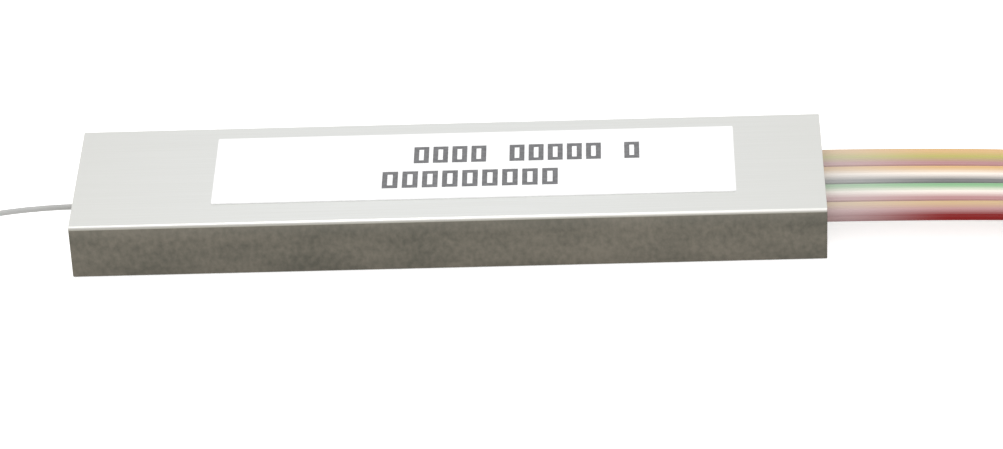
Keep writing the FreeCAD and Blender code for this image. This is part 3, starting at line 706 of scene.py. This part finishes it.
@dataclass
class TopLabel:
    """Paper label on the tube's top face, with plain marks where a real one has its print."""

    bench: Bench
    centre: tuple[float, float] = (1.7, 0.4)
    length: float = 34.8
    width: float = 8.0
    thickness: float = 0.1
    corner: float = 0.1
    foot: float = 4.0
    mark_height: float = 2.0
    stroke: float = 0.34
    ink: float = 0.012
    cut: float = 0.02
    mark_share: float = 0.78
    upper_row: tuple[tuple[PrintShape, int], ...] = (
        (PrintShape.BOX, 4),
        (PrintShape.GAP, 1),
        (PrintShape.BOX, 5),
        (PrintShape.GAP, 1),
        (PrintShape.BOX, 1),
    )
    lower_row: tuple[tuple[PrintShape, int], ...] = ((PrintShape.BOX, 9),)
    # Where each row starts and ends along the tube, and its middle across it.
    upper_place: tuple[float, float, float] = (-2.5, 12.9, 1.7)
    lower_place: tuple[float, float, float] = (-4.55, 7.45, -1.3)

    def build(self) -> list[bpy.types.Object]:
        """Model the sheet and its marks.

        Returns:
            The sheet and the marks.
        """
        return [self.sheet(), self.marks()]

    def sheet(self) -> bpy.types.Object:
        """Model the sheet from a plane with rounded corners.

        Returns:
            The label.
        """
        deselect_all()
        x, y = self.centre
        bpy.ops.mesh.primitive_plane_add(size=1.0, location=self.bench.at(x, y, self.foot))
        sheet = bpy.context.object
        sheet.scale = Vector((self.length, self.width, 1 / MM)) * MM
        apply_place(sheet)
        bpy.ops.object.mode_set(mode="EDIT")
        bpy.ops.mesh.select_all(action="SELECT")
        bpy.ops.mesh.bevel(offset=self.corner * MM, segments=5, affect="VERTICES")
        bpy.ops.object.mode_set(mode="OBJECT")
        body = sheet.modifiers.new("thickness", "SOLIDIFY")
        body.thickness, body.offset = self.thickness * MM, 1.0
        edge = sheet.modifiers.new("cut_edge", "BEVEL")
        edge.width, edge.segments = self.cut * MM, 2
        edge.limit_method, edge.angle_limit = "ANGLE", math.radians(60)
        apply_modifiers(sheet)
        bpy.ops.object.shade_smooth_by_angle(angle=math.radians(35))
        settle(sheet, "paper_label", PAPER)
        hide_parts("top_label")
        return sheet

    def marks(self) -> bpy.types.Object:
        """Model both rows of marks as one piece.

        Returns:
            The marks.
        """
        parts = [
            *self.row(self.upper_row, *self.upper_place),
            *self.row(self.lower_row, *self.lower_place),
        ]
        choose(parts[0])
        for part in parts[1:]:
            part.select_set(True)
        bpy.ops.object.join()
        marks = bpy.context.object
        apply_place(marks)
        return settle(marks, "label_marks", INK)

    def row(
        self, groups: tuple[tuple[PrintShape, int], ...], start: float, end: float, middle: float
    ) -> list[bpy.types.Object]:
        """Copy one mark along a row.

        Args:
            groups: Shapes in their order, each with how many.
            start: Where the row starts along the tube, in millimetres.
            end: Where it ends.
            middle: Its middle across the tube.

        Returns:
            The copies, each with its own mesh.
        """
        shapes = [shape for shape, count in groups for _ in range(count)]
        pitch = (end - start) / len(shapes)
        first, made = None, []
        for number, shape in enumerate(shapes):
            if shape is PrintShape.GAP:
                continue
            place = self.bench.at(
                start + (number + 0.5) * pitch, middle, self.foot + self.thickness
            )
            if first is None:
                first = mark = self.box_mark(place, pitch * self.mark_share)
            else:
                mark = first.copy()
                mark.data = first.data.copy()
                mark.location = place
                bpy.context.scene.collection.objects.link(mark)
            made.append(mark)
        return made

    def box_mark(self, place: Vector, width: float) -> bpy.types.Object:
        """Model one outlined box from an inset plane.

        Args:
            place: Its middle on the label's face.
            width: Its width along the row, in millimetres.

        Returns:
            The mark.
        """
        deselect_all()
        bpy.ops.mesh.primitive_plane_add(size=1.0, location=place)
        mark = bpy.context.object
        mark.scale = Vector((width, self.mark_height, 1 / MM)) * MM
        choose(mark)
        bpy.ops.object.transform_apply(location=False, rotation=False, scale=True)
        bpy.ops.object.mode_set(mode="EDIT")
        bpy.ops.mesh.select_all(action="SELECT")
        bpy.ops.mesh.inset(thickness=self.stroke * MM, depth=0)
        bpy.ops.mesh.delete(type="FACE")
        bpy.ops.object.mode_set(mode="OBJECT")
        body = mark.modifiers.new("ink", "SOLIDIFY")
        body.thickness, body.offset = self.ink * MM, 1.0
        apply_modifiers(mark)
        return mark


# Free fibre and ribbons


@dataclass
class Winding:
    """Put-away length, wound in layers of nearly round turns with a short hop between turns."""

    centre: tuple[float, float]
    layers: list[tuple[float, list[float]]]
    sense: int
    entry_height: float
    last_turn: float = 330.0
    hop: float = 40.0
    first_hop: float = 160.0
    steps_per_turn: int = 24

    def cells(self) -> list[tuple[float, float, float]]:
        """List where each turn starts to hop, and to which radius and height.

        Returns:
            Angle in degrees from the entry, radius and height in millimetres.
        """
        listed, angle = [], self.first_hop
        for layer, (height, radii) in enumerate(self.layers):
            for number, radius in enumerate(radii):
                if layer == number == 0:
                    listed.append((5.0, radius, height))
                    continue
                listed.append((angle, radius, height))
                angle += 360.0 - (self.hop if number == 0 else 0.0)
        return listed

    def points(self) -> Iterator[tuple[float, float, float]]:
        """Work out the line's points, turn by turn.

        Yields:
            Points in millimetres from the tube's underside.
        """
        cells = self.cells()
        step = 360.0 / self.steps_per_turn
        # The line cuts inside its own control points, so they stand a little further out.
        outset = 1.0 / math.cos(math.radians(step / 2.5))
        end = cells[-1][0] + self.last_turn
        count = int(end / step)
        for number in range(1, count + 1):
            angle = number * step
            radius, height = cells[0][1], self.entry_height
            for start, next_radius, next_height in cells:
                share = min(max((angle - start) / self.hop, 0.0), 1.0)
                share = share * share * (3 - 2 * share)
                radius += (next_radius - radius) * share
                height += (next_height - height) * share
            turn = math.radians(-90.0 + self.sense * angle)
            x, y = self.centre
            yield (
                x + math.cos(turn) * radius * outset,
                y + math.sin(turn) * radius * outset,
                height,
            )


def smooth_line(name: str, points: Iterable[Vector], resolution: int) -> bpy.types.Object:
    """Lay a smooth line through given points.

    Args:
        name: The curve's name.
        points: Its control points in metres.
        resolution: Steps between two points.

    Returns:
        A curve of one open spline.
    """
    data = bpy.data.curves.new(name, "CURVE")
    data.dimensions = "3D"
    data.resolution_u = resolution
    spline = data.splines.new("NURBS")
    points = list(points)
    spline.points.add(len(points) - 1)
    for target, point in zip(spline.points, points):
        target.co = (*point, 1.0)
    spline.use_endpoint_u = True
    spline.order_u = 3
    line = bpy.data.objects.new(name, data)
    bpy.context.scene.collection.objects.link(line)
    return line


@dataclass
class InputFibre:
    """Single buffered fibre from the input array, out through the plug and into its coil."""

    bench: Bench
    tie: bpy.types.Object
    diameter: float = 0.4
    length: float = 1000.0
    leaves_at: tuple[float, float, float] = (-25.0, -0.35, 2.0)
    route: tuple[tuple[float, float, float], ...] = (
        (-15.55, 0.0, 2.0),
        (-18.0, 0.0, 2.0),
        (-21.9, -0.35, 2.0),
        (-27.9, -0.35, 2.0),
        (-33.6, -0.95, 1.5),
        (-39.2, -2.2, 0.95),
        (-44.0, -3.1, 0.85),
    )
    coil: Winding = field(
        default_factory=lambda: Winding(
            centre=(-45.5, 8.6),
            layers=[
                (0.34, [11.78, 11.35, 10.93, 10.51]),
                (0.77, [10.51, 10.93, 11.35]),
                (1.19, [11.78, 11.35, 10.93, 10.51]),
                (1.61, [10.51, 10.93, 11.35, 11.78]),
            ],
            sense=-1,
            entry_height=0.8,
        )
    )

    def build(self) -> bpy.types.Object:
        """Lay the fibre as one smooth line and give it its thickness.

        Returns:
            The fibre.
        """
        points = [self.bench.at(*point) for point in (*self.route, *self.coil.points())]
        fibre = smooth_line("input_fibre", points, 5)
        fibre.data.bevel_depth = self.diameter / 2 * MM
        fibre.data.bevel_resolution = 3
        fibre.data.use_fill_caps = True
        settle(fibre, "input_fibre", JACKET)
        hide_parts("input_fibre_lead", "input_fibre_coil")
        self.bench.at(*self.leaves_at)
        return fibre


@dataclass
class OutputRibbon:
    """Flat ribbon of eight inked fibres, level at the tube and turned on edge before its coil."""

    bench: Bench
    tie: bpy.types.Object
    number: int
    inks: tuple[Ink, ...]
    width: float = 2.1
    thickness: float = 0.3
    fibres: int = 8
    length: float = 950.0
    pitch: float = 2.17
    nest: float = 0.315
    turn_pitch: float = 1.26
    outer_radius: float = 16.45
    lower: float = 1.22
    upper: float = 3.34
    twist_start: float = 38.4
    twist_end: float = 54.0
    turns: int = 6
    steps_per_fibre: int = 4
    groove: float = 0.05
    case_end: float = 25.0
    axis_height: float = 2.0
    # Sealant has crept along the ribbon between these two lengths from its start.
    veil_start: float = 17.5
    veil_end: float = 26.0

    @property
    def place(self) -> float:
        """Ribbon's place across the four, from -1.5 at the front to 1.5 at the back."""
        return self.number - 2.5

    def route(self) -> list[tuple[float, float, float]]:
        """List the line's points from the array to the coil.

        Returns:
            Points in millimetres.
        """
        place, exit_y = self.place, self.place * self.pitch
        stack_y = math.copysign(self.pitch / 2, place)
        outer = abs(place) > 1
        stack_z = 1.8 if outer else 2.2
        inside = [(11.2, stack_y, stack_z), (15.8, exit_y, stack_z)]
        return [
            (7.85, stack_y, stack_z),
            *(inside if outer else [(16.2, exit_y, stack_z)]),
            (20.4, exit_y, 2.0),
            (28.9, exit_y - 0.05, 2.0),
            (38.2, -0.5 + place * self.pitch, 2.02 - place * 0.03),
            (43.6, -1.05 + place * 2.0, 1.88),
            (48.6, -2.5 + place * 0.85, 1.55),
            (53.8, -4.1 + place * 0.36, 1.25),
            (59.2, -3.98 + place * self.nest, 1.22),
        ]

    def coil(self) -> Winding:
        """Describe this ribbon's turns, nested with those of the other three.

        Returns:
            The winding.
        """
        outer = self.outer_radius - (self.number - 1) * self.nest
        inward = [outer - turn * self.turn_pitch for turn in range(self.turns)]
        return Winding(
            centre=(60.0, 12.0),
            layers=[(self.lower, inward), (self.upper, inward[::-1])],
            sense=1,
            entry_height=self.lower,
        )

    def centreline(self) -> list[Vector]:
        """Read the smooth line's points.

        Returns:
            Points in metres, close together.
        """
        route, coil = self.route(), self.coil()
        controls = [self.bench.at(*point) for point in (*route, *coil.points())]
        line = smooth_line(f"ribbon_line_{self.number}", controls, 5)
        sampled = bpy.data.meshes.new_from_object(line)
        points = [vertex.co.copy() for vertex in sampled.vertices]
        bpy.data.meshes.remove(sampled)
        bpy.data.objects.remove(line)
        return points

    def section(self) -> list[tuple[float, float]]:
        """Outline the ribbon across its width, one ridge for each fibre above and below.

        Returns:
            Width and thickness offsets in millimetres, once round.
        """
        count = self.fibres * self.steps_per_fibre
        upper = []
        for step in range(count + 1):
            share = step / count
            across = (share - 0.5) * self.width
            ridge = abs(2 * ((share * self.fibres) % 1.0) - 1)
            fall = self.thickness / 2 if step in (0, count) else self.groove * ridge**2
            upper.append((across, self.thickness / 2 - fall))
        lower = [(across, -rise) for across, rise in upper[-2:0:-1]]
        return upper + lower

    def sweep(self, line: list[Vector]) -> bpy.types.Mesh:
        """Sweep the ridged section along the smooth line, with its twist.

        Args:
            line: The line's points in metres.

        Returns:
            A closed mesh, with its width and its run in millimetres as its own map.
        """
        section = self.section()
        twist_from = self.bench.at(self.twist_start, 0, 0).x
        twist_to = self.bench.at(self.twist_end, 0, 0).x
        mesh = bmesh.new()
        across_map = mesh.loops.layers.uv.new("across")
        rings, travelled, run, done = [], [], 0.0, False
        for number, point in enumerate(line):
            ahead = line[min(number + 1, len(line) - 1)] - line[max(number - 1, 0)]
            direction = ahead.normalized()
            share = 1.0 if done else (point.x - twist_from) / (twist_to - twist_from)
            done = done or share >= 1.0
            share = min(max(share, 0.0), 1.0)
            twist = math.radians(90.0) * share * share * (3 - 2 * share)
            level = Vector((0, 0, 1)).cross(direction).normalized()
            upright = direction.cross(level)
            wide = level * math.cos(twist) + upright * math.sin(twist)
            thick = upright * math.cos(twist) - level * math.sin(twist)
            rings.append(
                [mesh.verts.new(point + (wide * a + thick * b) * MM) for a, b in section]
            )
            if number:
                run += (point - line[number - 1]).length / MM
            travelled.append(run)
        count = len(section)
        shares = [(a / self.width + 0.5) for a, _ in section]
        for start in range(len(rings) - 1):
            for corner in range(count):
                following = (corner + 1) % count
                face = mesh.faces.new(
                    (
                        rings[start][corner],
                        rings[start + 1][corner],
                        rings[start + 1][following],
                        rings[start][following],
                    )
                )
                face.smooth = True
                places = (
                    (shares[corner], travelled[start]),
                    (shares[corner], travelled[start + 1]),
                    (shares[following], travelled[start + 1]),
                    (shares[following], travelled[start]),
                )
                for loop, place in zip(face.loops, places):
                    loop[across_map].uv = place
        mesh.faces.new(rings[0])
        mesh.faces.new(rings[-1][::-1])
        bmesh.ops.recalc_face_normals(mesh, faces=mesh.faces)
        data = bpy.data.meshes.new(f"ribbon_{self.number}")
        mesh.to_mesh(data)
        mesh.free()
        return data

    def build(self) -> bpy.types.Object:
        """Returns:
            The ribbon.
        """
        line = self.centreline()
        data = self.sweep(line)
        ribbon = bpy.data.objects.new(data.name, data)
        bpy.context.scene.collection.objects.link(ribbon)
        coating = RibbonCoating(
            f"ribbon_acrylate_{self.number}",
            "ribbon_coating",
            inks=self.inks,
            veil_start=self.veil_start,
            veil_end=self.veil_end,
        )
        settle(ribbon, f"ribbon_{self.number}", coating)
        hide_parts(f"ribbon_lead_{self.number}", "ribbon_coil")
        self.bench.at(self.case_end, self.place * self.pitch, self.axis_height)
        return ribbon


@dataclass
class CoilTie:
    """Woven tape wrapped round a coil's turns, its free end laid back over the top."""

    bench: Bench
    coil: str
    centre: tuple[float, float]
    inner: float
    outer: float
    top: float
    width: float
    angle: float = 5.0
    tape: float = 0.12
    rounding: float = 0.25
    slack: float = 0.01
    lap_reach: float = 0.45

    def build(self) -> bpy.types.Object:
        """Model the first wrap and the lapped end, and turn them to their place on the coil.

        Returns:
            The tie.
        """
        wrap = self.shell()
        lap = wrap.copy()
        lap.data = wrap.data.copy()
        bpy.context.scene.collection.objects.link(lap)
        self.trim_lap(lap)
        for layer in (wrap, lap):
            cloth = layer.modifiers.new("tape", "SOLIDIFY")
            cloth.thickness, cloth.offset, cloth.use_even_offset = self.tape * MM, 1.0, True
            edge = layer.modifiers.new("woven_edge", "BEVEL")
            edge.width, edge.segments = self.tape / 4 * MM, 2
            edge.limit_method, edge.angle_limit = "ANGLE", math.radians(60)
            apply_modifiers(layer)
        choose(wrap)
        lap.select_set(True)
        bpy.ops.object.join()
        wrap.location = self.bench.at(*self.centre, 0)
        wrap.rotation_euler.z = math.radians(self.angle)
        apply_place(wrap)
        bpy.ops.object.shade_smooth_by_angle(angle=math.radians(40))
        settle(wrap, f"{self.coil}_tie_tape", TIE_TAPE)
        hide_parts(f"{self.coil}_tie")
        return wrap

    def shell(self) -> bpy.types.Object:
        """Fold a sheet once round the coil's section, from a block with two sides removed.

        Returns:
            The open shell, its coil's middle at the origin.
        """
        deselect_all()
        bpy.ops.mesh.primitive_cube_add(
            size=1.0,
            location=Vector(((self.inner + self.outer) / 2, 0, (self.tape + self.top) / 2)) * MM,
            scale=Vector((self.outer - self.inner, self.width, self.top - self.tape)) * MM,
        )
        shell = bpy.context.object
        apply_place(shell)
        bpy.ops.object.mode_set(mode="EDIT")
        bpy.ops.mesh.select_mode(type="FACE")
        for way in (-1, 1):
            select_faces(shell, Vector((0, way, 0)))
            bpy.ops.mesh.delete(type="FACE")
        bpy.ops.mesh.select_mode(type="EDGE")
        mesh = bmesh.from_edit_mesh(shell.data)
        for edge in mesh.edges:
            run = edge.verts[1].co - edge.verts[0].co
            edge.select_set(abs(run.normalized().y) > 0.9)
        mesh.select_flush_mode()
        bmesh.update_edit_mesh(shell.data)
        bpy.ops.mesh.bevel(offset=self.rounding * MM, segments=5, profile=0.5)
        bpy.ops.object.mode_set(mode="OBJECT")
        return shell

    def trim_lap(self, lap: bpy.types.Object) -> None:
        """Lift the second layer off the first and keep its outer side and half of its top."""
        choose(lap)
        bpy.ops.object.mode_set(mode="EDIT")
        bpy.ops.mesh.select_all(action="SELECT")
        lift = (self.tape + self.slack) * MM
        bpy.ops.transform.shrink_fatten(value=lift, use_even_offset=True)
        lap_end = self.inner * (1 - self.lap_reach) + self.outer * self.lap_reach
        cuts = (
            (Vector((lap_end, 0, 0)), Vector((1, 0, 0))),
            (Vector((0, 0, self.tape + self.rounding)), Vector((0, 0, 1))),
        )
        for place, keep in cuts:
            bpy.ops.mesh.select_all(action="SELECT")
            bpy.ops.mesh.bisect(plane_co=place * MM, plane_no=keep, clear_inner=True)
        bpy.ops.object.mode_set(mode="OBJECT")


@dataclass
class Optics:
    """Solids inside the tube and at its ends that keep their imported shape."""

    finishes: dict[str, Finish] = field(
        default_factory=lambda: {
            "input_end_plug": PLUG_RUBBER,
            "output_end_plug": PLUG_RUBBER,
            "input_seal": POTTING,
            "output_seal": POTTING,
            "input_cushion": GEL,
            "chip_cushion": GEL,
            "output_cushion": GEL,
            "chip_input_lid": GLASS,
            "chip_output_lid": GLASS,
            "input_array_block": GLASS,
            "input_array_lid": GLASS,
            "output_array_block": GLASS,
            "output_array_lid": GLASS,
            "input_fibre_tip": GLASS,
            "output_fibre_tips": GLASS,
            "plc_chip": SILICA,
            "input_joint_glue": ADHESIVE,
            "output_joint_glue": ADHESIVE,
            "input_strain_bead": ADHESIVE,
            "output_strain_bead": ADHESIVE,
        }
    )

    def build(self) -> None:
        """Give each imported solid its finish."""
        for name, finish in self.finishes.items():
            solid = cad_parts[name]
            solid.data.materials.clear()
            solid.data.materials.append(finish.material())
            log.info("%s: %s", name, finish.name)


# Studio


@dataclass
class Studio:
    """Plain pale table, soft light and the camera."""

    bench: Bench
    floor_size: float = 3000.0
    turn: float = 2.2289
    tilt: float = 33.3291
    roll: float = 2.6484
    across: float = 3.3781
    along: float = -0.3470
    distance: float = 295.12
    lens: float = 157.25
    table_glow: float = 0.68
    sky: float = 0.9
    # Each lamp's name, place, width and power.
    lamps: tuple[tuple[str, tuple[float, float, float], float, float], ...] = (
        ("overhead_softbox", (-60.0, 40.0, 520.0), 420.0, 0.6),
        ("front_softbox", (180.0, -420.0, 380.0), 500.0, 0.35),
    )

    def build(self) -> None:
        """Set the table, the light and the camera."""
        self.table()
        self.light()
        self.camera()

    def table(self) -> None:
        """Lay a white table top, one sheet without edges in sight."""
        deselect_all()
        bpy.ops.mesh.primitive_plane_add(
            size=self.floor_size * MM, location=self.bench.at(0, 0, -0.02)
        )
        top = bpy.context.object
        top.name = "table_top"
        white = bpy.data.materials.new("white_laminate")
        white.use_nodes = True
        tree = white.node_tree
        tree.nodes.clear()
        seen = add_node(tree, "ShaderNodeLightPath")
        direct = add_node(
            tree,
            "ShaderNodeMath",
            {0: seen.outputs["Is Camera Ray"], 1: seen.outputs["Is Glossy Ray"]},
            operation="MAXIMUM",
        )
        direct = add_node(
            tree,
            "ShaderNodeMath",
            {0: direct.outputs[0], 1: seen.outputs["Is Transmission Ray"]},
            operation="MAXIMUM",
        )
        glow = add_node(
            tree,
            "ShaderNodeMath",
            {0: direct.outputs[0], 1: self.table_glow},
            operation="MULTIPLY",
        )
        shader = add_node(
            tree,
            "ShaderNodeBsdfPrincipled",
            {
                "Base Color": linear("#e8e8e8"),
                "Roughness": 0.9,
                "Emission Color": linear("#ffffff"),
                "Emission Strength": glow.outputs[0],
            },
        )
        add_node(tree, "ShaderNodeOutputMaterial", {"Surface": shader.outputs["BSDF"]})
        top.data.materials.append(white)

    def light(self) -> None:
        """Hang one large soft lamp behind and above, a weaker one in front, and a pale sky."""
        for name, place, size, power in self.lamps:
            data = bpy.data.lights.new(name, "AREA")
            data.shape, data.size = "DISK", size * MM
            data.energy = power
            lamp = bpy.data.objects.new(name, data)
            lamp.location = self.bench.at(*place)
            aim = self.bench.at(0, 0, 2.0) - lamp.location
            lamp.rotation_euler = aim.to_track_quat("-Z", "Y").to_euler()
            bpy.context.scene.collection.objects.link(lamp)
        world = bpy.data.worlds.new("pale_studio")
        world.use_nodes = True
        backdrop = world.node_tree.nodes["Background"]
        backdrop.inputs["Color"].default_value = linear("#ffffff")
        backdrop.inputs["Strength"].default_value = self.sky
        bpy.context.scene.world = world
        bpy.context.scene.view_settings.view_transform = "Standard"

    def camera(self) -> None:
        """Set the camera at the front, above and a little to the right."""
        data = bpy.data.cameras.new("front_camera")
        data.lens, data.sensor_width = self.lens, 36.0
        data.clip_start, data.clip_end = 0.01, 10.0
        camera = bpy.data.objects.new("front_camera", data)
        turned = (
            Matrix.Rotation(math.radians(self.turn), 4, "Z")
            @ Matrix.Rotation(math.radians(90 - self.tilt), 4, "X")
            @ Matrix.Rotation(math.radians(-self.roll), 4, "Z")
        )
        stand = turned @ Vector((self.across, self.along, self.distance))
        camera.matrix_world = Matrix.Translation(self.bench.at(*stand)) @ turned
        bpy.context.scene.collection.objects.link(camera)
        bpy.context.scene.camera = camera


# Each ribbon's three fields of colour, from its front edge to its back.
RIBBON_INKS = (
    (Ink.MAROON, Ink.ROSY_BROWN, Ink.TAN),
    (Ink.ROSY_BROWN, Ink.LINEN, Ink.DARK_SEA_GREEN),
    (Ink.GRAY, Ink.LINEN, Ink.BURLY_WOOD),
    (Ink.ROSY_BROWN, Ink.DARK_KHAKI, Ink.BURLY_WOOD),
)


def main() -> None:
    """Build the splitter and its studio."""
    logging.basicConfig(level=logging.INFO, format="%(name)s %(message)s")
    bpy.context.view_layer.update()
    bench = Bench.under("housing_tube")
    Studio(bench).build()
    SteelCase(bench).build()
    TopLabel(bench).build()
    Optics().build()
    fibre_tie = CoilTie(bench, "input_coil", (-45.5, 8.6), 10.25, 12.0, 1.83, width=1.9).build()
    ribbon_tie = CoilTie(bench, "ribbon_coil", (60.0, 12.0), 8.85, 16.62, 4.4, width=2.7).build()
    InputFibre(bench, fibre_tie).build()
    for number, inks in enumerate(RIBBON_INKS, start=1):
        OutputRibbon(bench, ribbon_tie, number, inks).build()


if __name__ == "__main__":
    main()
